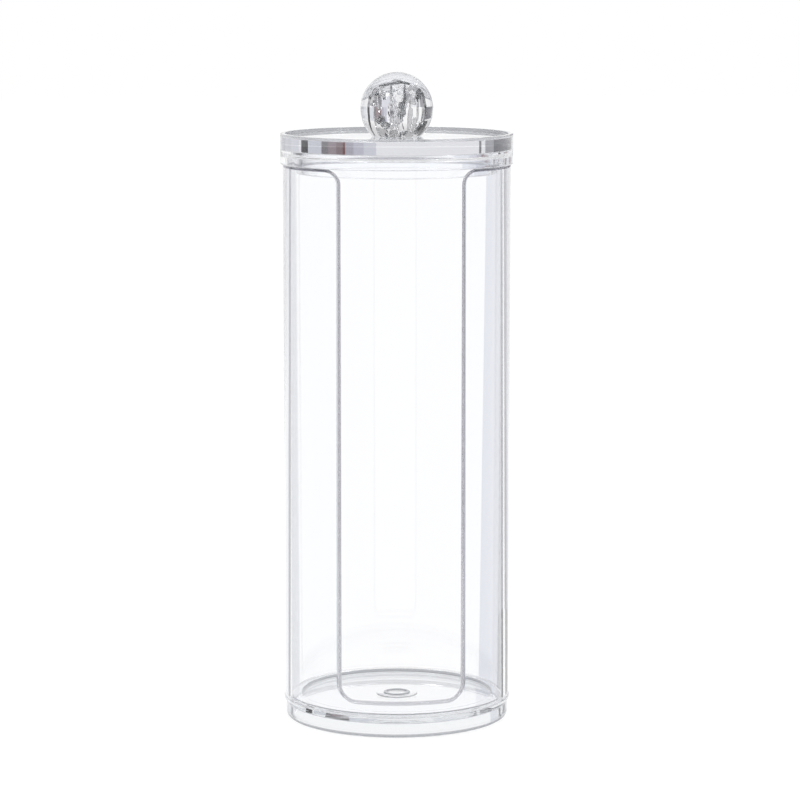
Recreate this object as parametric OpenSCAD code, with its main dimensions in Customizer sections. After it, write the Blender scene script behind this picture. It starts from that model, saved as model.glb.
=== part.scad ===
// Cotton pad holder: a clear tube with a slot down its front, standing on a
// pressed-in base and closed by a lift-off lid with a ball knob.
// The origin is at the centre of the foot, +Z is up and the slot faces -Y.

/* [Tube] */
// Outside diameter of the tube
tube_d = 68.6; // [60:0.2:90]
// Height of the tube, from its seat on the base to its mouth
tube_h = 162.5; // [80:0.5:220]
// Wall thickness at the mouth
mouth_wall = 1.6; // [1.2:0.1:2.4]
// Wall thickness at the foot, thicker than the mouth by the mould's draft
foot_wall = 2.6; // [1.6:0.1:3.6]
// Radius of the round on the tube's outer mouth edge
mouth_edge_r = 0.3; // [0.1:0.05:0.6]

/* [Slot] */
// Width of the slot, seen from the front
slot_w = 35.6; // [24:0.2:48]
// Height of the sill left below the slot, above the tube's foot
sill_h = 4.6; // [2:0.1:30]
// Radius of the slot's lower corners
sill_r = 4.3; // [2:0.1:8]
// Radius of the corners where the slot opens at the mouth
mouth_r = 4.5; // [2:0.1:8]

/* [Base] */
// How far the foot's wall stands in from the tube's outside
foot_inset = 0.4; // [0:0.1:2]
// Height of the seat that carries the tube
seat_h = 6.3; // [5.6:0.1:14]
// Thickness of the foot's wall
foot_ring_wall = 2.4; // [1.6:0.1:4]
// Radius of the round on the foot's lower outer edge
foot_r = 1.2; // [0.4:0.1:1.8]
// Depth of the hollow under the floor
hollow_h = 4.2; // [4.2:0.1:5]
// Thickness of the floor
floor_t = 1.7; // [1.2:0.1:3]
// How far the seat flange stands out past the tube
flange_lip = 0.2; // [0:0.05:1]
// Thickness of the flange
flange_t = 0.8; // [0.6:0.1:1.2]
// Height of the ring that stands up inside the tube, above the seat
spigot_h = 0.8; // [0.6:0.1:4]
// Width of that ring
spigot_w = 3.1; // [1.6:0.1:5]
// Clearance between that ring and the tube's bore
spigot_play = 0.1; // [0.05:0.05:0.3]
// Radius of the moulding mark in the middle of the floor
gate_r = 4; // [2:0.5:8]
// Height of the raised ring of the moulding mark
gate_h = 0.4; // [0.2:0.1:0.8]
// Width of the raised ring of the moulding mark
gate_w = 0.9; // [0.4:0.1:1.6]
// Radius of the outer step of the moulding mark
gate_step_r = 6.2; // [5:0.2:12]
// Height of the outer step of the moulding mark
gate_step_h = 0.2; // [0.1:0.05:0.4]

/* [Lid] */
// How far the lid stands out past the tube's outside
lid_lip = 0.7; // [0:0.1:2]
// Height of the skirt, from the tube's mouth to the plate's underside
skirt_h = 4.2; // [3:0.1:10]
// Wall thickness of the skirt
skirt_wall = 2.1; // [1.2:0.1:3]
// Thickness of the plate inside its rim
plate_t = 3.9; // [1.4:0.1:5]
// Height of the rim round the plate
rim_h = 1; // [0.4:0.1:3]
// Width of the rim round the plate
rim_w = 1.5; // [1:0.1:4]
// Radius of the round on the rim's outer edge
rim_r = 0.4; // [0.1:0.05:0.5]
// Radial play of the lid's plug in the tube's mouth
plug_play = 1.9; // [0.2:0.1:3]
// Wall thickness of the plug
plug_wall = 2.2; // [1.2:0.1:3]
// How far the plug reaches into the tube
plug_reach = 2.7; // [1:0.1:12]
// Depth of the solid left between the plate and the groove behind the skirt
groove_roof = 1; // [0:0.1:2]

/* [Knob] */
// Diameter of the ball
knob_d = 21.9; // [16:0.1:30]
// Radius of the flat where the ball is fixed to the lid
knob_flat_r = 7.2; // [3:0.1:7.5]

/* [Hidden] */
$fn = 160;
// Overlap that carries a cut clean through a face
cut = 1;
tube_r = tube_d / 2;
mouth_bore_r = tube_r - mouth_wall;
foot_bore_r = tube_r - foot_wall;
tube_top = seat_h + tube_h;
sill_z = seat_h + sill_h;
base_r = tube_r - foot_inset;
flange_r = tube_r + flange_lip;
spigot_r = foot_bore_r - spigot_play;
spigot_bore_r = spigot_r - spigot_w;
floor_z = hollow_h + floor_t;
hollow_r = base_r - foot_ring_wall;
lid_r = tube_r + lid_lip;
plate_z = tube_top + skirt_h;
lid_floor_z = plate_z + plate_t;
lid_top = lid_floor_z + rim_h;
skirt_bore_r = lid_r - skirt_wall;
plug_r = mouth_bore_r - plug_play;
plug_bore_r = plug_r - plug_wall;
groove_w = skirt_bore_r - plug_r;
groove_turn_z = plate_z - groove_roof - groove_w / 2;
knob_r = knob_d / 2;
// Depth of the flat below the ball's centre
knob_drop = sqrt(knob_r * knob_r - knob_flat_r * knob_flat_r);
knob_z = lid_floor_z + knob_drop;
clear_tint = [0.86, 0.92, 0.97, 0.35];
knob_tint = [0.80, 0.84, 0.90, 0.60];

// Rectangle of a section, from its inner and outer radius and its two heights
module band(r_in, r_out, z_low, z_high) {
    translate([r_in, z_low]) square([r_out - r_in, z_high - z_low]);
}

// What a round of radius r takes off the upper outer corner of a section, at (0, 0)
module corner_cut(r) {
    translate([-r, -r]) difference() {
        square(r + cut);
        circle(r, $fn = 48);
    }
}

// Outline of the slot from its sill up through the mouth, with round corners
module slot_outline() {
    half = slot_w / 2;
    translate([-half, sill_z + sill_r]) square([slot_w, tube_top + cut - sill_z - sill_r]);
    translate([sill_r - half, sill_z]) square([slot_w - 2 * sill_r, 2 * sill_r]);
    for (side = [-1, 1]) {
        translate([side * (half - sill_r), sill_z + sill_r]) circle(sill_r, $fn = 96);
        difference() {
            translate([side * half - mouth_r, tube_top - mouth_r]) square([2 * mouth_r, mouth_r + cut]);
            translate([side * (half + mouth_r), tube_top - mouth_r]) circle(mouth_r, $fn = 96);
        }
    }
}

// The slot, cut straight back from the front of the tube to its middle
module slot_cut() {
    rotate([90, 0, 0]) linear_extrude(tube_r + cut) slot_outline();
}

// Clear tube with draft in its bore and a slot down the front
module tube() {
    color(clear_tint) difference() {
        rotate_extrude() difference() {
            polygon([[foot_bore_r, seat_h], [tube_r, seat_h],
                     [tube_r, tube_top], [mouth_bore_r, tube_top]]);
            translate([tube_r, tube_top]) corner_cut(mouth_edge_r);
        }
        slot_cut();
    }
}

// Base: foot ring, floor, flange that carries the tube and ring inside it
module base() {
    color(clear_tint) rotate_extrude() {
        difference() {
            band(hollow_r, base_r, 0, seat_h);
            translate([base_r, 0]) mirror([0, 1]) corner_cut(foot_r);
        }
        band(0, base_r, hollow_h, floor_z);
        band(spigot_bore_r, flange_r, seat_h - flange_t, seat_h);
        band(spigot_bore_r, spigot_r, floor_z - floor_t / 2, seat_h + spigot_h);
        band(0, gate_step_r, floor_z - floor_t / 2, floor_z + gate_step_h);
        band(gate_r - gate_w, gate_r, floor_z, floor_z + gate_step_h + gate_h);
    }
}

// Lid: rimmed plate, skirt on the tube's mouth and plug inside it
module lid() {
    color(clear_tint) rotate_extrude() {
        difference() {
            band(0, lid_r, plate_z, lid_top);
            band(-cut, lid_r - rim_w, lid_floor_z, lid_top + cut);
            translate([lid_r, lid_top]) corner_cut(rim_r);
        }
        band(skirt_bore_r, lid_r, tube_top, plate_z + plate_t / 2);
        band(plug_bore_r, plug_r, tube_top - plug_reach, plate_z + plate_t / 2);
        difference() {
            band(plug_r - plug_wall / 2, skirt_bore_r + skirt_wall / 2, groove_turn_z, plate_z);
            translate([(plug_r + skirt_bore_r) / 2, groove_turn_z]) circle(groove_w / 2, $fn = 48);
        }
    }
}

// Ball knob with a flat where it is fixed to the plate
module knob() {
    color(knob_tint) difference() {
        translate([0, 0, knob_z]) sphere(knob_r, $fn = 120);
        translate([0, 0, knob_z - knob_drop - knob_r]) cylinder(h = knob_r, r = knob_r);
    }
}

base();
tube();
lid();
knob();
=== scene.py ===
"""Dresses the cotton pad holder: clear mouldings, a crackled ball knob and their white studio."""
import logging
import math
import random
from dataclasses import dataclass, field
from enum import Enum, IntEnum
from typing import Sequence

import bmesh
import bpy
from mathutils import Matrix, Vector, noise


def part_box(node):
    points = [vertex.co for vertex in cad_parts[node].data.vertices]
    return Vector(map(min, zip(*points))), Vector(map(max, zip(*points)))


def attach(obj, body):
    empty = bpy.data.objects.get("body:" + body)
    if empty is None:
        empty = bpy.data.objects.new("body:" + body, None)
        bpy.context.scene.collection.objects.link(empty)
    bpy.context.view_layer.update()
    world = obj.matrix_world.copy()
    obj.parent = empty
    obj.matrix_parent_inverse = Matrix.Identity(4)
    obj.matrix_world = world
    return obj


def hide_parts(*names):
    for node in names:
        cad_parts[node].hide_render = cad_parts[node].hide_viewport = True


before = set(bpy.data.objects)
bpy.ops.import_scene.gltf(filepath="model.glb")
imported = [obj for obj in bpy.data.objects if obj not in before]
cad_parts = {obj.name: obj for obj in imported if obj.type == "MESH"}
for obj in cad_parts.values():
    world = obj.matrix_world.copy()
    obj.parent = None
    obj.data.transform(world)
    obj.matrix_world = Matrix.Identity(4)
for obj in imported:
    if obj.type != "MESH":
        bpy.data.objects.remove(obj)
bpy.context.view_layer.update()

MM = 0.001
LOG = logging.getLogger("cotton_pad_holder")
NO_MATERIAL = -1
FULL_TURN = 2 * math.pi
MERGE = 1e-6
FACE_SLACK = 0.05 * MM
CORNER_STEPS = 5
FLAT_WEIGHT = 50
WALL_BOUNCES = 128
CLEAR_SHADOW_LAYERS = 40


class Body(Enum):
    """The two CAD bodies of the holder."""

    CONTAINER = "container"
    LID = "lid"


class Slot(Enum):
    """The record's material slots."""

    BODY = "clear_body"
    LID = "clear_lid"
    BALL = "crackled_ball"


class TurnedFinishAndShade(IntEnum):
    """Places of the finishes of the base and the lid. The shaded and the deep places hold painted shade."""

    CLEAR = 0
    SHADED = 1
    WALL = 2
    DEEP_SHADE = 3


class WallFinishAndShade(IntEnum):
    """Places of the tube's finishes. The cut and mouth places hold painted shade."""

    BORE = 0
    SKIN = 1
    CUT_SHADE = 2
    MOUTH_SHADE = 3


class CrackFinishAndShade(IntEnum):
    """Places of the finishes of the cracks and bubbles in the ball. The grey and dark places hold painted
    shade.
    """

    AIR = 0
    GREY_SHADE = 1
    DARK_SHADE = 2


def new_mesh(name: str, shape: bmesh.types.BMesh) -> bpy.types.Object:
    """Turns a finished bmesh into an object at the origin.

    Args:
        name: Name of the object and its mesh.
        shape: The shape, in metres in the row frame. It is freed.

    Returns:
        The new object, smooth shaded.
    """
    mesh = bpy.data.meshes.new(name)
    for face in shape.faces:
        face.smooth = True
    shape.to_mesh(mesh)
    shape.free()
    piece = bpy.data.objects.new(name, mesh)
    bpy.context.scene.collection.objects.link(piece)
    return piece


def keep_flats(piece: bpy.types.Object) -> None:
    """Lets large faces keep their own normals, so that only the rounds between them bend the light."""
    weighted = piece.modifiers.new("keep_flats", "WEIGHTED_NORMAL")
    weighted.mode = "FACE_AREA"
    weighted.weight = FLAT_WEIGHT
    weighted.keep_sharp = False


@dataclass(frozen=True)
class ClearPlastic:
    """Clear polished plastic: a faint tint, and painted shade that darkens it more where the surface turns
    away.
    """

    name: str
    tint: tuple[float, float, float] = (0.985, 0.99, 1.0)
    limb_shade: tuple[float, float, float] = (0.62, 0.65, 0.71)
    limb_shade_start: float = 0.72
    limb_shade_full: float = 0.98
    refraction: float = 1.49
    ripple_scale: float = 55.0
    ripple_depth: float = 0.012
    haze_scale: float = 320.0
    haze_low: float = 0.0
    haze_high: float = 0.02
    lamp_tint: tuple[float, float, float] = (0.975, 0.98, 0.985)

    def build(self) -> bpy.types.Material:
        """Makes the material.

        Returns:
            A clear material: tint, painted shade on the limb, moulding ripple and polish haze.
        """
        material = bpy.data.materials.new(self.name)
        material.use_nodes = True
        tree = material.node_tree
        shader = tree.nodes["Principled BSDF"]
        shader.inputs["IOR"].default_value = self.refraction
        shader.inputs["Transmission Weight"].default_value = 1.0
        self._link_tint_and_limb_shade(tree, shader)
        self._link_surface(tree, shader)
        self._link_lamps(tree, shader, tree.nodes["Material Output"])
        return material

    def _link_tint_and_limb_shade(self, tree: bpy.types.NodeTree, shader: bpy.types.Node) -> None:
        """Paints shade on the rounds and the limb: they are tinted darker than what faces the eye."""
        # Painted shade: the colour darkens towards the limb's tint as the surface turns away from the eye.
        limb = tree.nodes.new("ShaderNodeLayerWeight")
        limb.inputs["Blend"].default_value = 0.5
        ramp = tree.nodes.new("ShaderNodeMapRange")
        ramp.inputs["From Min"].default_value = self.limb_shade_start
        ramp.inputs["From Max"].default_value = self.limb_shade_full
        mix = tree.nodes.new("ShaderNodeMix")
        mix.data_type = "RGBA"
        mix.inputs["A"].default_value = (*self.tint, 1.0)
        mix.inputs["B"].default_value = (*self.limb_shade, 1.0)
        tree.links.new(limb.outputs["Facing"], ramp.inputs["Value"])
        tree.links.new(ramp.outputs["Result"], mix.inputs["Factor"])
        tree.links.new(mix.outputs["Result"], shader.inputs["Base Color"])

    def _link_surface(self, tree: bpy.types.NodeTree, shader: bpy.types.Node) -> None:
        """Adds the slow ripple of a moulded wall and the faint unevenness of its polish."""
        place = tree.nodes.new("ShaderNodeTexCoord")
        stretch = tree.nodes.new("ShaderNodeMapping")
        stretch.inputs["Scale"].default_value = (1.0, 1.0, 0.25)
        ripple = tree.nodes.new("ShaderNodeTexNoise")
        ripple.inputs["Scale"].default_value = self.ripple_scale
        ripple.inputs["Detail"].default_value = 1.0
        bump = tree.nodes.new("ShaderNodeBump")
        bump.inputs["Strength"].default_value = self.ripple_depth
        bump.inputs["Distance"].default_value = MM
        haze = tree.nodes.new("ShaderNodeTexNoise")
        haze.inputs["Scale"].default_value = self.haze_scale
        polish = tree.nodes.new("ShaderNodeMapRange")
        polish.inputs["To Min"].default_value = self.haze_low
        polish.inputs["To Max"].default_value = self.haze_high
        tree.links.new(place.outputs["Object"], stretch.inputs["Vector"])
        tree.links.new(stretch.outputs["Vector"], ripple.inputs["Vector"])
        tree.links.new(ripple.outputs["Fac"], bump.inputs["Height"])
        tree.links.new(bump.outputs["Normal"], shader.inputs["Normal"])
        tree.links.new(place.outputs["Object"], haze.inputs["Vector"])
        tree.links.new(haze.outputs["Fac"], polish.inputs["Value"])
        tree.links.new(polish.outputs["Result"], shader.inputs["Roughness"])

    def _link_lamps(self, tree: bpy.types.NodeTree, shader: bpy.types.Node, output: bpy.types.Node) -> None:
        """Lets lamps shine through the clear wall, so that its shadow stays as light as a real one."""
        path = tree.nodes.new("ShaderNodeLightPath")
        clear = tree.nodes.new("ShaderNodeBsdfTransparent")
        clear.inputs["Color"].default_value = (*self.lamp_tint, 1.0)
        choose = tree.nodes.new("ShaderNodeMixShader")
        tree.links.new(path.outputs["Is Shadow Ray"], choose.inputs["Fac"])
        tree.links.new(shader.outputs["BSDF"], choose.inputs[1])
        tree.links.new(clear.outputs["BSDF"], choose.inputs[2])
        tree.links.new(choose.outputs["Shader"], output.inputs["Surface"])


@dataclass(frozen=True)
class AirFilm:
    """The air in a crack or a bubble inside the ball, bounded by the ball's own plastic. Its tint is painted
    shade.
    """

    name: str = "air_in_the_ball"
    refraction: float = 1 / 1.49
    tint: tuple[float, float, float] = (0.93, 0.93, 0.94)

    def build(self) -> bpy.types.Material:
        """Makes the material, which bends light as air inside plastic does."""
        material = bpy.data.materials.new(self.name)
        material.use_nodes = True
        shader = material.node_tree.nodes["Principled BSDF"]
        shader.inputs["Base Color"].default_value = (*self.tint, 1.0)
        shader.inputs["IOR"].default_value = self.refraction
        shader.inputs["Transmission Weight"].default_value = 1.0
        shader.inputs["Roughness"].default_value = 0.0
        return material


@dataclass(frozen=True)
class Corner:
    """A corner of a turned section: its radius and height, and the round on it, in metres."""

    radius: float
    height: float
    round: float = 0.0


def turn(corners: Sequence[Corner], steps: int) -> bmesh.types.BMesh:
    """Turns a closed section about the Z axis.

    Args:
        corners: The section's corners in order. A section that reaches the axis has two corners on it.
        steps: Number of steps in the full turn.

    Returns:
        The turned solid, closed and with its normals outwards.
    """
    shape = bmesh.new()
    points = [shape.verts.new((c.radius, 0.0, c.height)) for c in corners]
    shape.faces.new(points)
    for point, corner in zip(points, corners):
        if corner.round > 0:
            bmesh.ops.bevel(shape, geom=[point], offset=corner.round, offset_type="OFFSET",
                            segments=CORNER_STEPS, profile=0.5, affect="VERTICES", material=NO_MATERIAL)
    bmesh.ops.delete(shape, geom=shape.faces[:], context="FACES_ONLY")
    on_axis = [e for e in shape.edges if all(v.co.x < MERGE for v in e.verts)]
    bmesh.ops.delete(shape, geom=on_axis, context="EDGES")
    bmesh.ops.spin(shape, geom=shape.verts[:] + shape.edges[:], cent=(0, 0, 0), axis=(0, 0, 1),
                   angle=FULL_TURN, steps=steps, use_merge=True)
    bmesh.ops.remove_doubles(shape, verts=shape.verts[:], dist=MERGE)
    bmesh.ops.recalc_face_normals(shape, faces=shape.faces[:])
    return shape


@dataclass(frozen=True)
class Zone:
    """Part of a turned piece, between two radii and two heights, that has its own finish. The darker zones
    are painted shade.

    Attributes:
        finish: Place of the finish among the piece's finishes.
        inner: Smallest radius.
        outer: Largest radius.
        low: Lowest height.
        high: Greatest height.
        behind: Whether it keeps to the half behind the axis.
    """

    finish: TurnedFinishAndShade
    inner: float
    outer: float
    low: float
    high: float
    behind: bool = False

    def holds(self, point: Vector) -> bool:
        """Whether a point lies in the zone."""
        radius = math.hypot(point.x, point.y)
        on_side = point.y > 0 or not self.behind
        return on_side and self.inner <= radius <= self.outer and self.low <= point.z <= self.high


@dataclass
class Moulding:
    """A moulded piece of the holder, which stands for one CAD node.

    Attributes:
        node: The CAD node that the piece stands for.
        body: The body that it rides on.
        slot: The record's material slot. It is not used.
        finishes: Its materials. The first covers what no zone gives to another.
    """

    node: str
    body: Body
    slot: Slot
    finishes: tuple[bpy.types.Material, ...]

    def set_zones(self, shape: bmesh.types.BMesh, zones: Sequence[Zone]) -> None:
        """Gives the faces in each zone the zone's finish.

        Args:
            shape: The piece's shape.
            zones: The zones.
        """
        for face in shape.faces:
            middle = face.calc_center_median()
            for zone in zones:
                if zone.holds(middle):
                    face.material_index = zone.finish

    def dress(self, shape: bmesh.types.BMesh) -> bpy.types.Object:
        """Turns the shape into the finished piece.

        Args:
            shape: The piece's shape. It is freed.

        Returns:
            The piece, with its material, riding on its body.
        """
        piece = new_mesh(f"clear_{self.node}", shape)
        keep_flats(piece)
        for finish in self.finishes:
            piece.data.materials.append(finish)
        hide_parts(self.node)
        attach(piece, self.body.value)
        LOG.info("%s: %d faces", piece.name, len(piece.data.polygons))
        return piece


@dataclass
class TubeWall(Moulding):
    """The clear wall with its slot, modelled flat, cut into columns and rolled up.

    Its finishes are in the order of WallFinishAndShade: the bore, the outside, and the painted shade of the
    slot's edges and of the mouth's edge.

    A point of the flat sheet has its sideways place as seen from the front, so that the slot's faces come out
    straight, and beyond turn_in the sheet is measured along its arc.
    """

    wall_at_mouth: float = 1.6 * MM
    wall_at_foot: float = 2.6 * MM
    slot_half: float = 17.8 * MM
    sill_height: float = 4.6 * MM
    sill_round: float = 4.3 * MM
    mouth_round: float = 4.5 * MM
    edge_round: float = 0.85 * MM
    foot_round: float = 0.12 * MM
    seam_gap: float = 0.04 * MM
    turn_in: float = 26 * MM
    columns: int = 180
    round_steps: int = 12
    edge_steps: int = 4
    facing: float = 0.99
    outer: float = field(init=False)
    foot: float = field(init=False)
    mouth: float = field(init=False)

    def __post_init__(self) -> None:
        """Takes the wall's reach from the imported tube."""
        low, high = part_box(self.node)
        self.outer = high.x
        self.foot = low.z + self.seam_gap
        self.mouth = high.z - self.seam_gap

    @property
    def turn_in_angle(self) -> float:
        """Angle from the front at which the sheet goes over to arc length."""
        return math.asin(self.turn_in / self.outer)

    def place_of(self, angle: float) -> float:
        """Sideways place on the flat sheet of an angle from the front."""
        size = abs(angle)
        flat = self.outer * math.sin(size)
        if size > self.turn_in_angle:
            flat = self.turn_in + (size - self.turn_in_angle) * self.outer
        return math.copysign(flat, angle)

    def roll(self, point: Vector) -> Vector:
        """Where a point of the flat sheet lies on the tube.

        Args:
            point: Sideways place, depth in the wall as a share of wall_at_foot, and height.

        Returns:
            The point on the tube.
        """
        rise = (point.z - self.foot) / (self.mouth - self.foot)
        wall = self.wall_at_foot + (self.wall_at_mouth - self.wall_at_foot) * rise
        radius = self.outer - wall * point.y / self.wall_at_foot
        size = abs(point.x)
        if size <= self.turn_in:
            angle = math.asin(size / radius)
        else:
            outer_angle = self.turn_in_angle + (size - self.turn_in) / self.outer
            share = (outer_angle - self.turn_in_angle) / (math.pi - self.turn_in_angle)
            lead = math.asin(self.turn_in / radius) - self.turn_in_angle
            angle = outer_angle + lead * (1 - share)
        angle = math.copysign(angle, point.x)
        return Vector((radius * math.sin(angle), -radius * math.cos(angle), point.z))

    def flat_sheet(self) -> bmesh.types.BMesh:
        """The flat sheet with its slot, as thick as the wall at the foot."""
        sheet = bmesh.new()
        back = self.place_of(math.pi)
        sill = self.foot - self.seam_gap + self.sill_height
        half = self.slot_half
        outline = [(-back, self.foot), (back, self.foot), (back, self.mouth), (half, self.mouth),
                   (half, sill), (-half, sill), (-half, self.mouth), (-back, self.mouth)]
        points = [sheet.verts.new((x, 0.0, z)) for x, z in outline]
        sheet.faces.new(points)
        rounds = {3: self.mouth_round, 4: self.sill_round, 5: self.sill_round, 6: self.mouth_round}
        for index, size in rounds.items():
            bmesh.ops.bevel(sheet, geom=[points[index]], offset=size, offset_type="OFFSET",
                            segments=self.round_steps, profile=0.5, affect="VERTICES",
                            material=NO_MATERIAL)
        wall = bmesh.ops.extrude_face_region(sheet, geom=sheet.faces[:])
        moved = [v for v in wall["geom"] if isinstance(v, bmesh.types.BMVert)]
        bmesh.ops.translate(sheet, verts=moved, vec=(0.0, self.wall_at_foot, 0.0))
        return sheet

    def round_edges(self, sheet: bmesh.types.BMesh, back: float) -> None:
        """Opens the sheet's two ends, which meet at the back, and rounds its other edges."""
        ends = [f for f in sheet.faces if all(abs(abs(v.co.x) - back) < MERGE for v in f.verts)]
        bmesh.ops.delete(sheet, geom=ends, context="FACES_ONLY")
        rims, foot = [], []
        for edge in sheet.edges:
            level = [abs(v.co.y) for v in edge.verts]
            on_face = max(level) < MERGE or min(level) > self.wall_at_foot - MERGE
            at_end = all(abs(abs(v.co.x) - back) < MERGE for v in edge.verts)
            if on_face and not at_end:
                at_foot = all(v.co.z < self.foot + MERGE for v in edge.verts)
                (foot if at_foot else rims).append(edge)
        for edges, size in ((rims, self.edge_round), (foot, self.foot_round)):
            bmesh.ops.bevel(sheet, geom=edges, offset=size, offset_type="OFFSET", segments=self.edge_steps,
                            profile=0.5, affect="EDGES", material=NO_MATERIAL)

    def set_sides(self, sheet: bmesh.types.BMesh) -> None:
        """Gives the flat sheet's outside its finish, and paints shade on its slot edges and, at the front, on
        the mouth's edge.
        """
        for face in sheet.faces:
            middle = face.calc_center_median()
            on_edge = abs(face.normal.y) < self.facing
            at_front = abs(middle.x) < self.place_of(math.pi / 2)
            # Painted shade: the mouth's edge is darkened on the front half only, and the slot's edges all
            # along.
            if on_edge and at_front and middle.z > self.mouth - self.edge_round:
                face.material_index = WallFinishAndShade.MOUTH_SHADE
            elif on_edge and middle.z > self.foot + MM:
                face.material_index = WallFinishAndShade.CUT_SHADE
            elif not on_edge and middle.y < MERGE:
                face.material_index = WallFinishAndShade.SKIN

    def build(self) -> bpy.types.Object:
        """Makes the wall.

        Returns:
            The finished piece.
        """
        sheet = self.flat_sheet()
        self.round_edges(sheet, self.place_of(math.pi))
        step = FULL_TURN / self.columns
        for column in range(1 - self.columns // 2, self.columns // 2):
            bmesh.ops.bisect_plane(sheet, geom=sheet.verts[:] + sheet.edges[:] + sheet.faces[:], dist=MERGE,
                                   plane_co=(self.place_of(column * step), 0, 0), plane_no=(1, 0, 0))
        sheet.normal_update()
        self.set_sides(sheet)
        for point in sheet.verts:
            point.co = self.roll(point.co)
        bmesh.ops.remove_doubles(sheet, verts=sheet.verts[:], dist=MERGE)
        bmesh.ops.recalc_face_normals(sheet, faces=sheet.faces[:])
        return self.dress(sheet)


@dataclass
class FootBase(Moulding):
    """The base: foot ring, floor with its moulding mark, flange and the ring inside the tube."""

    steps: int = 192
    foot_wall: float = 2.4 * MM
    foot_round: float = 1.2 * MM
    hollow: float = 4.2 * MM
    floor: float = 1.7 * MM
    seat: float = 6.3 * MM
    flange: float = 0.8 * MM
    foot_radius: float = 33.9 * MM
    ring_radius: float = 31.6 * MM
    ring_width: float = 3.1 * MM
    mark_radius: float = 4.0 * MM
    mark_width: float = 0.9 * MM
    mark_height: float = 0.4 * MM
    step_radius: float = 6.2 * MM
    step_height: float = 0.2 * MM
    edge: float = 0.25 * MM
    sharp: float = 0.1 * MM
    above_step: float = 1.2

    def section(self) -> list[Corner]:
        """The section's corners, from the middle of the floor outwards and back under it."""
        low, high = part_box(self.node)
        floor_z = self.hollow + self.floor
        ring_bore = self.ring_radius - self.ring_width
        step_z = floor_z + self.step_height
        mark_z = step_z + self.mark_height
        mark_bore = self.mark_radius - self.mark_width
        fine = self.edge / 3
        return [
            Corner(0.0, step_z), Corner(mark_bore, step_z, fine), Corner(mark_bore, mark_z, fine),
            Corner(self.mark_radius, mark_z, fine), Corner(self.mark_radius, step_z, fine),
            Corner(self.step_radius, step_z, fine), Corner(self.step_radius, floor_z, fine),
            Corner(ring_bore, floor_z, self.edge), Corner(ring_bore, high.z, self.edge),
            Corner(self.ring_radius, high.z, self.edge), Corner(self.ring_radius, self.seat, fine),
            Corner(high.x, self.seat, self.sharp), Corner(high.x, self.seat - self.flange, self.sharp),
            Corner(self.foot_radius, self.seat - self.flange, fine),
            Corner(self.foot_radius, low.z, self.foot_round),
            Corner(self.foot_radius - self.foot_wall, low.z, self.edge),
            Corner(self.foot_radius - self.foot_wall, self.hollow, self.edge), Corner(0.0, self.hollow),
        ]

    def zones(self) -> list[Zone]:
        """The foot's wall, and painted shade that darkens the ring bore, moulding mark and edges of the foot.
        """
        low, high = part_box(self.node)
        edge = self.edge
        floor_z = self.hollow + self.floor
        mark_z = floor_z + self.step_height * self.above_step
        mark_bore = self.mark_radius - self.mark_width
        ring_bore = self.ring_radius - self.ring_width
        foot_bore = self.foot_radius - self.foot_wall
        foot_corner = self.foot_radius - self.foot_round
        deep, shaded = TurnedFinishAndShade.DEEP_SHADE, TurnedFinishAndShade.SHADED
        return [
            Zone(TurnedFinishAndShade.WALL, self.foot_radius - FACE_SLACK, high.x + MERGE, low.z, self.seat),
            # Painted shade: the ring, the step, the moulding mark and the foot's rounds are darkened, most on
            # the deep zones.
            Zone(deep, ring_bore - edge, ring_bore + edge, floor_z + edge, high.z),
            Zone(deep, self.ring_radius - edge, self.ring_radius + MERGE, high.z - edge, high.z),
            Zone(shaded, ring_bore - edge, ring_bore + edge, floor_z, floor_z + edge),
            Zone(deep, mark_bore - edge, self.mark_radius + edge, mark_z, high.z),
            Zone(deep, self.step_radius - edge, self.step_radius + edge, floor_z, high.z),
            Zone(deep, foot_corner, self.foot_radius, low.z + MERGE, low.z + self.foot_round),
            Zone(shaded, foot_bore - edge, foot_bore + edge, low.z + MERGE, low.z + edge),
            Zone(shaded, foot_bore - edge, foot_bore + edge, self.hollow - edge, self.hollow),
        ]

    def build(self) -> bpy.types.Object:
        """Makes the base."""
        shape = turn(self.section(), self.steps)
        self.set_zones(shape, self.zones())
        return self.dress(shape)


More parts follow.
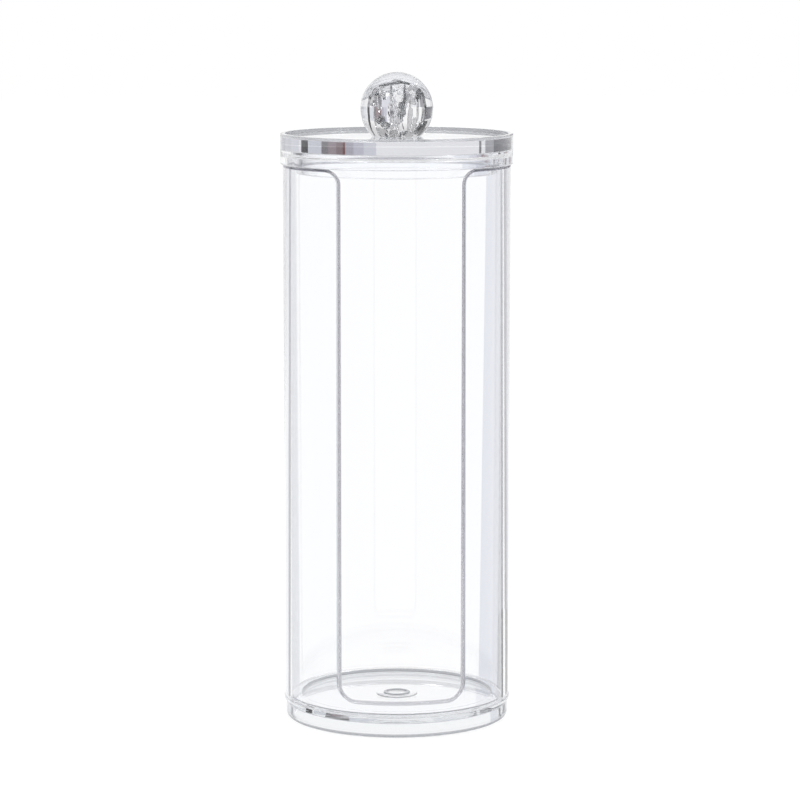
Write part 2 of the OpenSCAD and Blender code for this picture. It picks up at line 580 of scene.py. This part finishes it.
@dataclass
class RimmedLid(Moulding):
    """The lid: rimmed plate, skirt on the tube's mouth, groove and plug ring."""

    steps: int = 192
    skirt: float = 4.2 * MM
    skirt_wall: float = 2.1 * MM
    plate: float = 3.9 * MM
    rim_width: float = 1.5 * MM
    rim_foot: float = 0.6 * MM
    plug_radius: float = 30.8 * MM
    plug_wall: float = 2.2 * MM
    plug_reach: float = 2.7 * MM
    groove_roof: float = 1.0 * MM
    groove_share: float = 2.1
    edge: float = 0.35 * MM

    def section(self) -> list[Corner]:
        """The section's corners, from the middle of the plate outwards and back under it."""
        low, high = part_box(self.node)
        joint = low.z + self.plug_reach
        under = joint + self.skirt
        top = under + self.plate
        plug_bore = self.plug_radius - self.plug_wall
        skirt_bore = high.x - self.skirt_wall
        roof = under - self.groove_roof
        groove_round = (skirt_bore - self.plug_radius) / self.groove_share
        fine = self.edge / 2
        return [
            Corner(0.0, top), Corner(high.x - self.rim_width, top, self.rim_foot),
            Corner(high.x - self.rim_width, high.z, fine), Corner(high.x, high.z, self.edge),
            Corner(high.x, under), Corner(high.x, joint, fine), Corner(skirt_bore, joint, fine),
            Corner(skirt_bore, roof, groove_round), Corner(self.plug_radius, roof, groove_round),
            Corner(self.plug_radius, low.z, self.edge), Corner(plug_bore, low.z, self.edge),
            Corner(plug_bore, under, self.edge), Corner(0.0, under),
        ]

    def zones(self) -> list[Zone]:
        """The plate's wall, and painted shade that darkens the foot of the rim, the rim corner and the lower
        edge of the skirt.
        """
        low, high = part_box(self.node)
        edge = self.edge
        joint = low.z + self.plug_reach
        top = joint + self.skirt + self.plate
        rim_bore = high.x - self.rim_width
        rim_foot, rim_side = rim_bore - self.rim_foot, rim_bore + edge / 2
        deep, shaded = TurnedFinishAndShade.DEEP_SHADE, TurnedFinishAndShade.SHADED
        return [
            Zone(TurnedFinishAndShade.WALL, high.x - FACE_SLACK, high.x + MERGE, top - self.plate, high.z - edge),
            # Painted shade on the rim's foot, darker on the half behind the axis, and on the rim's top edge
            # and the skirt's lower edge.
            Zone(shaded, rim_foot, rim_side, top + MERGE, high.z - MERGE),
            Zone(deep, rim_foot, rim_side, top + MERGE, high.z - MERGE, behind=True),
            Zone(shaded, high.x - edge, high.x, high.z - edge, high.z - MERGE),
            Zone(shaded, high.x - edge, high.x, joint + MERGE, joint + edge),
        ]

    def build(self) -> bpy.types.Object:
        """Makes the lid."""
        shape = turn(self.section(), self.steps)
        self.set_zones(shape, self.zones())
        return self.dress(shape)


@dataclass(frozen=True)
class Film:
    """A crack in the ball that is seen as a patch or a streak from the front.

    Attributes:
        across: How far right of the middle it is seen, in ball radii.
        up: How far above the middle it is seen.
        width: Half the width that it is seen with.
        height: Half the height that it is seen with.
        yaw: How far it is turned about the upright axis, in degrees.
        roll: How far it leans to the right.
        depth: How deep it is, in ball radii from the ball's front.
        dark: Whether it is one of the dark ones, which carry the darker painted shade.
    """

    across: float
    up: float
    width: float
    height: float
    yaw: float
    roll: float
    depth: float
    dark: bool = False


@dataclass
class BallKnob(Moulding):
    """The clear ball with a flat underneath, and the cracks and bubbles inside it, tinted grey and dark as
    painted shade.
    """

    air: bpy.types.Material = None
    grey_shade_film: bpy.types.Material = None
    dark_shade_film: bpy.types.Material = None
    heading: float = -2.7
    seat_gap: float = 0.04 * MM
    flat_edge: float = 0.3 * MM
    around: int = 128
    rings: int = 96
    seed: int = 7
    facets: int = 3
    bubbles: int = 18
    lens: float = 0.329
    film_thickness: float = 0.03 * MM
    film_bend: float = 0.02
    outline_uneven: float = 0.8
    outline_scale: float = 1.5
    outline_spread: float = 900
    flat_edge_steps: int = 3
    films: tuple[Film, ...] = (
        Film(-0.58, 0.46, 0.06, 0.06, 0, 0, 0.4, True), Film(-0.36, 0.40, 0.07, 0.11, 20, 0, 0.4, True),
        Film(-0.70, 0.32, 0.14, 0.26, -15, 8, 0.7), Film(-0.50, 0.26, 0.08, 0.36, 15, -6, 0.6),
        Film(-0.44, 0.64, 0.20, 0.08, 0, -34, 0.7), Film(-0.16, 0.42, 0.04, 0.34, 10, -2, 0.8),
        Film(0.22, 0.42, 0.05, 0.30, 10, 0, 0.6, True), Film(0.16, 0.02, 0.10, 0.26, 5, 8, 0.7, True),
        Film(0.10, -0.20, 0.07, 0.16, 5, -14, 0.7, True), Film(-0.08, -0.20, 0.14, 0.34, 0, 4, 1.1),
        Film(0.36, -0.26, 0.07, 0.36, 12, 2, 0.8), Film(0.60, 0.00, 0.035, 0.40, 20, 3, 0.7),
        Film(-0.42, -0.34, 0.12, 0.14, 15, -20, 0.7, True), Film(-0.27, -0.46, 0.08, 0.10, 5, 30, 0.6, True),
        Film(-0.30, -0.84, 0.04, 0.14, 0, -8, 0.5, True), Film(-0.10, -0.78, 0.18, 0.18, 0, 6, 0.7),
        Film(0.10, -0.82, 0.03, 0.18, 0, 4, 0.6, True), Film(0.34, -0.74, 0.16, 0.11, 10, 30, 0.7),
        Film(0.24, -0.70, 0.04, 0.10, 10, 30, 0.6, True),
        Film(-0.44, -0.70, 0.14, 0.18, 0, -24, 0.6), Film(0.50, -0.46, 0.07, 0.24, 10, 6, 0.8),
        Film(0.66, 0.46, 0.10, 0.22, 30, 10, 0.5, True), Film(0.44, 0.62, 0.20, 0.10, 0, -20, 0.6),
        Film(0.40, 0.32, 0.16, 0.22, 0, 14, 0.8), Film(0.86, 0.24, 0.06, 0.34, 60, -8, 0.5, True),
        Film(0.84, -0.14, 0.08, 0.28, 50, 8, 0.6), Film(-0.16, 0.78, 0.36, 0.05, 0, -6, 0.4, True),
        Film(0.22, 0.82, 0.22, 0.05, 0, 14, 0.4, True), Film(0.66, -0.62, 0.09, 0.20, 20, 30, 0.5, True),
        Film(0.02, 0.90, 0.12, 0.04, 0, 0, 0.5), Film(-0.62, -0.34, 0.04, 0.22, 30, -10, 0.7),
    )
    radius: float = field(init=False)
    centre: Vector = field(init=False)
    flat: float = field(init=False)

    def __post_init__(self) -> None:
        """Takes the ball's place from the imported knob."""
        low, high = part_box(self.node)
        self.radius = (high.x - low.x) / 2
        self.centre = Vector((0.0, 0.0, high.z - self.radius))
        self.flat = low.z + self.seat_gap

    def ball(self) -> bmesh.types.BMesh:
        """The ball, cut off at its flat."""
        shape = bmesh.new()
        bmesh.ops.create_uvsphere(shape, u_segments=self.around, v_segments=self.rings, radius=self.radius,
                                  matrix=Matrix.Translation(self.centre))
        cut = bmesh.ops.bisect_plane(shape, geom=shape.verts[:] + shape.edges[:] + shape.faces[:],
                                     plane_co=(0, 0, self.flat), plane_no=(0, 0, -1), clear_outer=True)
        rim = [e for e in cut["geom_cut"] if isinstance(e, bmesh.types.BMEdge)]
        bmesh.ops.edgeloop_fill(shape, edges=rim)
        rim = [e for e in shape.edges if all(abs(v.co.z - self.flat) < MERGE for v in e.verts)]
        bmesh.ops.bevel(shape, geom=rim, offset=self.flat_edge, offset_type="OFFSET",
                        segments=self.flat_edge_steps, profile=0.5, affect="EDGES",
                        material=NO_MATERIAL)
        bmesh.ops.recalc_face_normals(shape, faces=shape.faces[:])
        return shape

    def add_crack(self, shape: bmesh.types.BMesh, place: Vector, turned: Matrix, width: float, height: float,
                  bend: float, finish: CrackFinishAndShade) -> None:
        """Adds one crack: a thin, slightly bent lens of air with an uneven outline.

        Args:
            shape: The bmesh that holds the cracks.
            place: The crack's middle, from the ball's centre.
            turned: Turn from a crack that faces the front.
            width: Half its width.
            height: Half its height.
            bend: How far its middle stands out of its plane.
            finish: Place of its finish.
        """
        made = bmesh.ops.create_uvsphere(shape, u_segments=24, v_segments=8, radius=1.0)
        for vert in made["verts"]:
            wander = noise.noise(vert.co * self.outline_scale + place * self.outline_spread)
            rough = 1 + self.outline_uneven * wander
            away = vert.co.x ** 2 + vert.co.y ** 2
            stands_out = vert.co.z * self.film_thickness + bend * (1 - away)
            vert.co = Vector((vert.co.x * width * rough, stands_out, vert.co.y * height * rough))
        bmesh.ops.transform(shape, verts=made["verts"],
                            matrix=Matrix.Translation(self.centre + place) @ turned.to_4x4())
        for face in {face for vert in made["verts"] for face in vert.link_faces}:
            face.material_index = finish

    def add_film(self, shape: bmesh.types.BMesh, film: Film) -> None:
        """Adds one crack that is placed as it is seen from the front, through the ball's own magnification.

        Args:
            shape: The bmesh that holds the cracks.
            film: The crack.
        """
        enlarged = 1 / (1 - self.lens * film.depth)
        front = Matrix.Rotation(math.radians(self.heading), 3, "Z")
        place = Vector((film.across / enlarged, film.depth - 1, film.up / enlarged)) * self.radius
        turned = front @ Matrix.Rotation(math.radians(film.roll), 3, "Y")
        turned = turned @ Matrix.Rotation(math.radians(film.yaw), 3, "Z")
        width = film.width * self.radius / enlarged
        height = film.height * self.radius / enlarged
        # Painted shade: a crack is tinted grey, or dark where the film is a dark one.
        finish = CrackFinishAndShade.DARK_SHADE if film.dark else CrackFinishAndShade.GREY_SHADE
        self.add_crack(shape, front @ place, turned, width, height, self.film_bend * self.radius, finish)

    def crackle(self) -> bmesh.types.BMesh:
        """The cracks and bubbles, all inside the ball and with a fixed seed."""
        shape = bmesh.new()
        draw = random.Random(self.seed)
        for film in self.films:
            self.add_film(shape, film)
        for _ in range(self.facets):
            away = Vector((draw.uniform(-1, 1), draw.uniform(-1, 1), draw.uniform(-0.8, 0.9))).normalized()
            place = away * self.radius * draw.uniform(0.2, 0.5)
            turned = Matrix.Rotation(draw.uniform(0, math.pi), 3, "Z")
            turned = turned @ Matrix.Rotation(draw.uniform(-0.3, 0.3), 3, "X")
            width = self.radius * draw.uniform(0.12, 0.3)
            height = self.radius * draw.uniform(0.2, 0.45)
            bend = self.radius * draw.uniform(-0.05, 0.05)
            self.add_crack(shape, place, turned, width, height, bend, CrackFinishAndShade.AIR)
        for _ in range(self.bubbles):
            away = Vector((draw.uniform(-1, 1), draw.uniform(-1, 1), draw.uniform(-0.8, 1))).normalized()
            place = self.centre + away * self.radius * draw.uniform(0.1, 0.8)
            size = draw.uniform(0.07, 0.24) * MM
            bmesh.ops.create_icosphere(shape, subdivisions=2, radius=size, matrix=Matrix.Translation(place))
        bmesh.ops.recalc_face_normals(shape, faces=shape.faces[:])
        return shape

    def build(self) -> bpy.types.Object:
        """Makes the ball and what is inside it.

        Returns:
            The ball.
        """
        ball = self.dress(self.ball())
        inside = new_mesh("knob_crackle", self.crackle())
        for finish in (self.air, self.grey_shade_film, self.dark_shade_film):
            inside.data.materials.append(finish)
        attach(inside, self.body.value)
        LOG.info("%s: %d faces", inside.name, len(inside.data.polygons))
        return ball


@dataclass(frozen=True)
class Board:
    """A board that stands round the set, out of the camera's sight, and that only the clear plastic shows.

    Attributes:
        name: The board's name.
        start: Where it starts, in degrees to the right of straight behind the holder.
        end: Where it ends, likewise.
        colour: Its colour as the plastic shows it.
        low: Height of its lower edge. A board that reaches below the floor stands for its image in it.
        high: Height of its upper edge.
        lean: How far to the right its upper edge leans, in degrees.
        reach: How far from the holder its upper edge is.
    """

    name: str
    start: float
    end: float
    colour: tuple[float, float, float]
    low: float = -0.99
    high: float = 1.1
    lean: float = 0.0
    reach: float = 4.0


@dataclass(frozen=True)
class Lamp:
    """A soft square lamp: its name, where it hangs, its side in metres and its power in watts."""

    name: str
    place: tuple[float, float, float]
    side: float
    power: float


@dataclass
class Studio:
    """The white set: floor, surroundings, lamps and boards."""

    floor_half: float = 4.0
    floor_colour: float = 0.32
    floor_glow: float = 0.69
    surround: float = 1.0
    ceiling: float = 0.72
    ceiling_start: float = 0.16
    ceiling_end: float = 0.42
    board_distance: float = 4.0
    board_steps: int = 8
    aim_height: float = 0.09
    lamps: tuple[Lamp, ...] = (
        Lamp("soft_lamp_left", (-1.1, -0.9, 1.5), 0.7, 9.0),
        Lamp("soft_lamp_right", (1.3, -0.5, 1.4), 0.6, 6.0),
    )
    floor_clear: float = 0.93
    boards: tuple[Board, ...] = (
        Board("white_lilac_board", 9.0, 13.0, (0.74, 0.75, 0.80), low=-0.12),
        Board("pale_lilac_board", 13.0, 16.5, (0.60, 0.60, 0.67), low=-0.12),
        Board("lilac_board", 16.5, 19.6, (0.46, 0.45, 0.51), low=-0.12),
        Board("red_edge", 19.6, 20.5, (0.16, 0.03, 0.03), low=-0.12),
        Board("mauve_board_inner", 20.5, 23.2, (0.24, 0.18, 0.19), low=-0.12),
        Board("mauve_board", 23.2, 26.8, (0.34, 0.28, 0.30), low=-0.12),
        Board("mauve_board_outer", 26.8, 30.2, (0.22, 0.21, 0.22), low=-0.12),
        Board("pale_board", 30.2, 38.3, (0.70, 0.72, 0.77), low=-0.12),
        Board("black_stand", 38.5, 44.0, (0.02, 0.02, 0.025), low=-0.12, high=0.7),
        Board("black_foot", 38.5, 44.0, (0.02, 0.02, 0.025), low=-1.15, high=-0.85),
        Board("grey_foot", 19.6, 31.0, (0.12, 0.12, 0.13), low=-1.15, high=-0.85),
        Board("black_boom", 38.5, 44.0, (0.01, 0.01, 0.012), low=0.7, high=4.5, lean=19, reach=3.0),
        Board("black_flag", -50, -27, (0.02, 0.02, 0.022), low=1.25, high=2.3),
        Board("black_flag_top", -62, -38, (0.02, 0.02, 0.022), low=2.3, high=4.2),
        Board("pale_board_right", 46, 56, (0.80, 0.81, 0.85), low=-0.12),
        Board("grey_board_right", 56, 66, (0.66, 0.67, 0.71), low=-0.12),
        Board("dark_board_right", 66, 80, (0.42, 0.43, 0.48), low=-0.12),
        Board("thin_stand", -30.3, -28.9, (0.22, 0.22, 0.23), low=-0.12),
        Board("grey_board_left", -40.0, -33.0, (0.40, 0.40, 0.42), low=-0.12),
        Board("dark_board_left", -53.3, -40.0, (0.14, 0.14, 0.16), low=-0.12),
        Board("dark_wing_left", -72.0, -53.3, (0.10, 0.10, 0.12), low=-0.12),
        Board("low_lilac_board", 9.5, 19.6, (0.72, 0.73, 0.79), high=-0.12),
        Board("low_grey_board", 19.6, 26.0, (0.38, 0.38, 0.42), low=-0.85, high=-0.12),
        Board("low_line_right", 26.0, 33.0, (0.24, 0.24, 0.27), low=-0.85, high=-0.12),
        Board("low_stand_right", 38.5, 44.0, (0.26, 0.26, 0.29), low=-0.85, high=-0.12),
        Board("low_pale_board_left", -26.0, -10.0, (0.84, 0.85, 0.88), high=-0.12),
        Board("low_line_left", -33.0, -26.0, (0.28, 0.28, 0.31), high=-0.12),
        Board("foot_line_left", -31.0, -28.4, (0.06, 0.06, 0.07), low=-1.15, high=-0.99),
        Board("foot_grey_left", -54.0, -33.0, (0.44, 0.45, 0.48), low=-1.15, high=-0.99),
    )

    def seen_by_plastic(self, tree: bpy.types.NodeTree, with_camera: bool) -> bpy.types.NodeSocket:
        """A socket that is 1 for rays that mirror or pass the plastic, and for the camera's too if asked."""
        path = tree.nodes.new("ShaderNodeLightPath")
        both = tree.nodes.new("ShaderNodeMath")
        both.operation = "MAXIMUM"
        tree.links.new(path.outputs["Is Glossy Ray"], both.inputs[0])
        tree.links.new(path.outputs["Is Transmission Ray"], both.inputs[1])
        if not with_camera:
            return both.outputs["Value"]
        every = tree.nodes.new("ShaderNodeMath")
        every.operation = "MAXIMUM"
        tree.links.new(both.outputs["Value"], every.inputs[0])
        tree.links.new(path.outputs["Is Camera Ray"], every.inputs[1])
        return every.outputs["Value"]

    def build_world(self) -> None:
        """White surroundings, with a dimmer ceiling that the plastic shows."""
        world = bpy.data.worlds.new("studio")
        bpy.context.scene.world = world
        world.use_nodes = True
        tree = world.node_tree
        light = tree.nodes["Background"]
        light.inputs["Color"].default_value = (1.0, 1.0, 1.0, 1.0)
        place = tree.nodes.new("ShaderNodeTexCoord")
        split = tree.nodes.new("ShaderNodeSeparateXYZ")
        rise = tree.nodes.new("ShaderNodeMapRange")
        rise.interpolation_type = "SMOOTHSTEP"
        rise.inputs["From Min"].default_value = self.ceiling_start
        rise.inputs["From Max"].default_value = self.ceiling_end
        rise.inputs["To Min"].default_value = self.surround
        rise.inputs["To Max"].default_value = self.ceiling
        choose = tree.nodes.new("ShaderNodeMix")
        choose.inputs["A"].default_value = self.surround
        tree.links.new(place.outputs["Generated"], split.inputs["Vector"])
        tree.links.new(split.outputs["Z"], rise.inputs["Value"])
        tree.links.new(self.seen_by_plastic(tree, False), choose.inputs["Factor"])
        tree.links.new(rise.outputs["Result"], choose.inputs["B"])
        tree.links.new(choose.outputs["Result"], light.inputs["Strength"])

    def build_floor(self) -> bpy.types.Object:
        """A wide pale floor that keeps the holder's shadow."""
        shape = bmesh.new()
        bmesh.ops.create_grid(shape, x_segments=1, y_segments=1, size=self.floor_half)
        floor = new_mesh("floor", shape)
        material = bpy.data.materials.new("white_floor")
        material.use_nodes = True
        tree = material.node_tree
        tree.nodes.remove(tree.nodes["Principled BSDF"])
        matt = tree.nodes.new("ShaderNodeBsdfDiffuse")
        matt.inputs["Color"].default_value = (self.floor_colour,) * 3 + (1.0,)
        glow = tree.nodes.new("ShaderNodeEmission")
        level = tree.nodes.new("ShaderNodeMath")
        level.operation = "MULTIPLY"
        level.inputs[1].default_value = self.floor_glow
        both = tree.nodes.new("ShaderNodeAddShader")
        path = tree.nodes.new("ShaderNodeLightPath")
        share = tree.nodes.new("ShaderNodeMath")
        share.operation = "MULTIPLY"
        share.inputs[1].default_value = self.floor_clear
        image = tree.nodes.new("ShaderNodeBsdfTransparent")
        choose = tree.nodes.new("ShaderNodeMixShader")
        tree.links.new(path.outputs["Is Transmission Ray"], share.inputs[0])
        tree.links.new(share.outputs["Value"], choose.inputs["Fac"])
        tree.links.new(both.outputs["Shader"], choose.inputs[1])
        tree.links.new(image.outputs["BSDF"], choose.inputs[2])
        tree.links.new(self.seen_by_plastic(tree, True), level.inputs[0])
        tree.links.new(level.outputs["Value"], glow.inputs["Strength"])
        tree.links.new(matt.outputs["BSDF"], both.inputs[0])
        tree.links.new(glow.outputs["Emission"], both.inputs[1])
        tree.links.new(choose.outputs["Shader"], tree.nodes["Material Output"].inputs["Surface"])
        floor.data.materials.append(material)
        return floor

    def build_board(self, board: Board) -> bpy.types.Object:
        """Stands one board up.

        Args:
            board: The board.

        Returns:
            The board's object, seen by the plastic alone.
        """
        shape = bmesh.new()
        start, end = math.radians(board.start), math.radians(board.end)
        away = math.radians(board.start + board.lean)
        post = shape.verts.new((math.sin(start) * self.board_distance, math.cos(start) * self.board_distance,
                                board.low))
        top = shape.verts.new((math.sin(away) * board.reach, math.cos(away) * board.reach, board.high))
        edge = shape.edges.new((post, top))
        bmesh.ops.spin(shape, geom=[post, top, edge], cent=(0, 0, 0), axis=(0, 0, -1),
                       angle=end - start, steps=self.board_steps)
        piece = new_mesh(board.name, shape)
        material = bpy.data.materials.new(board.name)
        material.use_nodes = True
        tree = material.node_tree
        tree.nodes.remove(tree.nodes["Principled BSDF"])
        glow = tree.nodes.new("ShaderNodeEmission")
        glow.inputs["Color"].default_value = (*board.colour, 1.0)
        tree.links.new(glow.outputs["Emission"], tree.nodes["Material Output"].inputs["Surface"])
        piece.data.materials.append(material)
        piece.visible_camera = False
        piece.visible_diffuse = False
        piece.visible_shadow = False
        return piece

    def build_lamp(self, lamp: Lamp) -> None:
        """Hangs one soft lamp that points at the middle of the holder.

        Args:
            lamp: The lamp.
        """
        data = bpy.data.lights.new(lamp.name, "AREA")
        data.shape = "SQUARE"
        data.size = lamp.side
        data.energy = lamp.power
        hung = bpy.data.objects.new(lamp.name, data)
        hung.location = lamp.place
        aim = Vector((0.0, 0.0, self.aim_height)) - Vector(lamp.place)
        hung.rotation_euler = aim.to_track_quat("-Z", "Y").to_euler()
        bpy.context.scene.collection.objects.link(hung)

    def build(self) -> None:
        """Makes the whole set."""
        self.build_world()
        self.build_floor()
        for board in self.boards:
            self.build_board(board)
        for lamp in self.lamps:
            self.build_lamp(lamp)


@dataclass
class PhotoCamera:
    """The camera at the photograph's viewing angle."""

    azimuth: float = -2.7
    distance: float = 0.973
    height: float = 0.234
    pitch: float = 8.02
    turn_right: float = 0.058
    focal_pixels: float = 3236.0
    image_pixels: float = 800.0
    sensor: float = 36.0

    def build(self) -> bpy.types.Object:
        """Makes the camera and sets it as the scene's."""
        data = bpy.data.cameras.new("photo_camera")
        data.sensor_width = self.sensor
        data.lens = self.focal_pixels / self.image_pixels * self.sensor
        data.clip_start = 0.01
        camera = bpy.data.objects.new("photo_camera", data)
        side = math.radians(self.azimuth)
        camera.location = (math.sin(side) * self.distance, -math.cos(side) * self.distance, self.height)
        camera.rotation_euler = (math.radians(90 - self.pitch), 0.0, side - math.radians(self.turn_right))
        bpy.context.scene.collection.objects.link(camera)
        bpy.context.scene.camera = camera
        return camera


def set_light_paths(scene: bpy.types.Scene) -> None:
    """Gives light enough bounces to pass all the clear walls."""
    scene.view_settings.view_transform = "Standard"
    scene.cycles.max_bounces = WALL_BOUNCES
    scene.cycles.transmission_bounces = WALL_BOUNCES
    scene.cycles.glossy_bounces = WALL_BOUNCES
    scene.cycles.transparent_max_bounces = CLEAR_SHADOW_LAYERS
    scene.cycles.caustics_reflective = False


def main() -> None:
    """Builds the holder's pieces in order, then its set and camera."""
    logging.basicConfig(level=logging.INFO, format="%(name)s: %(message)s")
    set_light_paths(bpy.context.scene)
    PhotoCamera().build()
    # Painted shade: a strong dark line along the bore's limb, and dark slot and mouth edges.
    bore = ClearPlastic("clear_bore", limb_shade=(0.30, 0.32, 0.37), limb_shade_start=0.62, limb_shade_full=0.97).build()
    skin = ClearPlastic("clear_skin", limb_shade=(0.97, 0.98, 1.0)).build()
    cut = ClearPlastic("slot_edge_painted_shade", tint=(0.44, 0.44, 0.48), limb_shade=(0.38, 0.38, 0.42)).build()
    mouth = ClearPlastic("mouth_edge_painted_shade", tint=(0.15, 0.15, 0.18), limb_shade=(0.12, 0.12, 0.15)).build()
    solid = ClearPlastic("clear_moulding", limb_shade=(0.80, 0.82, 0.86)).build()
    # Painted shade for the corners of the base and the lid, in a lighter and a deeper tint.
    shade = ClearPlastic("shaded_corner", tint=(0.62, 0.63, 0.65), limb_shade=(0.40, 0.41, 0.44)).build()
    deep = ClearPlastic("deep_corner_painted_shade", tint=(0.26, 0.27, 0.29), limb_shade=(0.20, 0.21, 0.23)).build()
    # The thick walls are tinted for the plastic's depth, with painted shade towards their limbs.
    lid_wall = ClearPlastic("thick_lid_edge", tint=(0.73, 0.735, 0.77), limb_shade=(0.40, 0.40, 0.43)).build()
    foot_wall = ClearPlastic("thick_foot_edge", tint=(0.80, 0.82, 0.84), limb_shade=(0.40, 0.41, 0.44)).build()
    # Painted shade: the ball darkens over a wide band towards its limb.
    glass = ClearPlastic("clear_ball_plastic", tint=(0.95, 0.95, 0.96), limb_shade=(0.52, 0.53, 0.56),
                         limb_shade_start=0.40, limb_shade_full=0.95, ripple_scale=180.0, ripple_depth=0.03).build()
    FootBase("base", Body.CONTAINER, Slot.BODY, (solid, shade, foot_wall, deep)).build()
    TubeWall("tube", Body.CONTAINER, Slot.BODY, (bore, skin, cut, mouth)).build()
    RimmedLid("lid", Body.LID, Slot.LID, (solid, shade, lid_wall, deep)).build()
    # Painted shade: the air in the cracks is tinted grey and dark.
    BallKnob("knob", Body.LID, Slot.BALL, (glass,), air=AirFilm().build(),
             grey_shade_film=AirFilm("grey_crack_painted_shade", tint=(0.60, 0.60, 0.61)).build(),
             dark_shade_film=AirFilm("dark_crack_painted_shade", tint=(0.26, 0.27, 0.28)).build()).build()
    Studio().build()


if __name__ == "__main__":
    main()
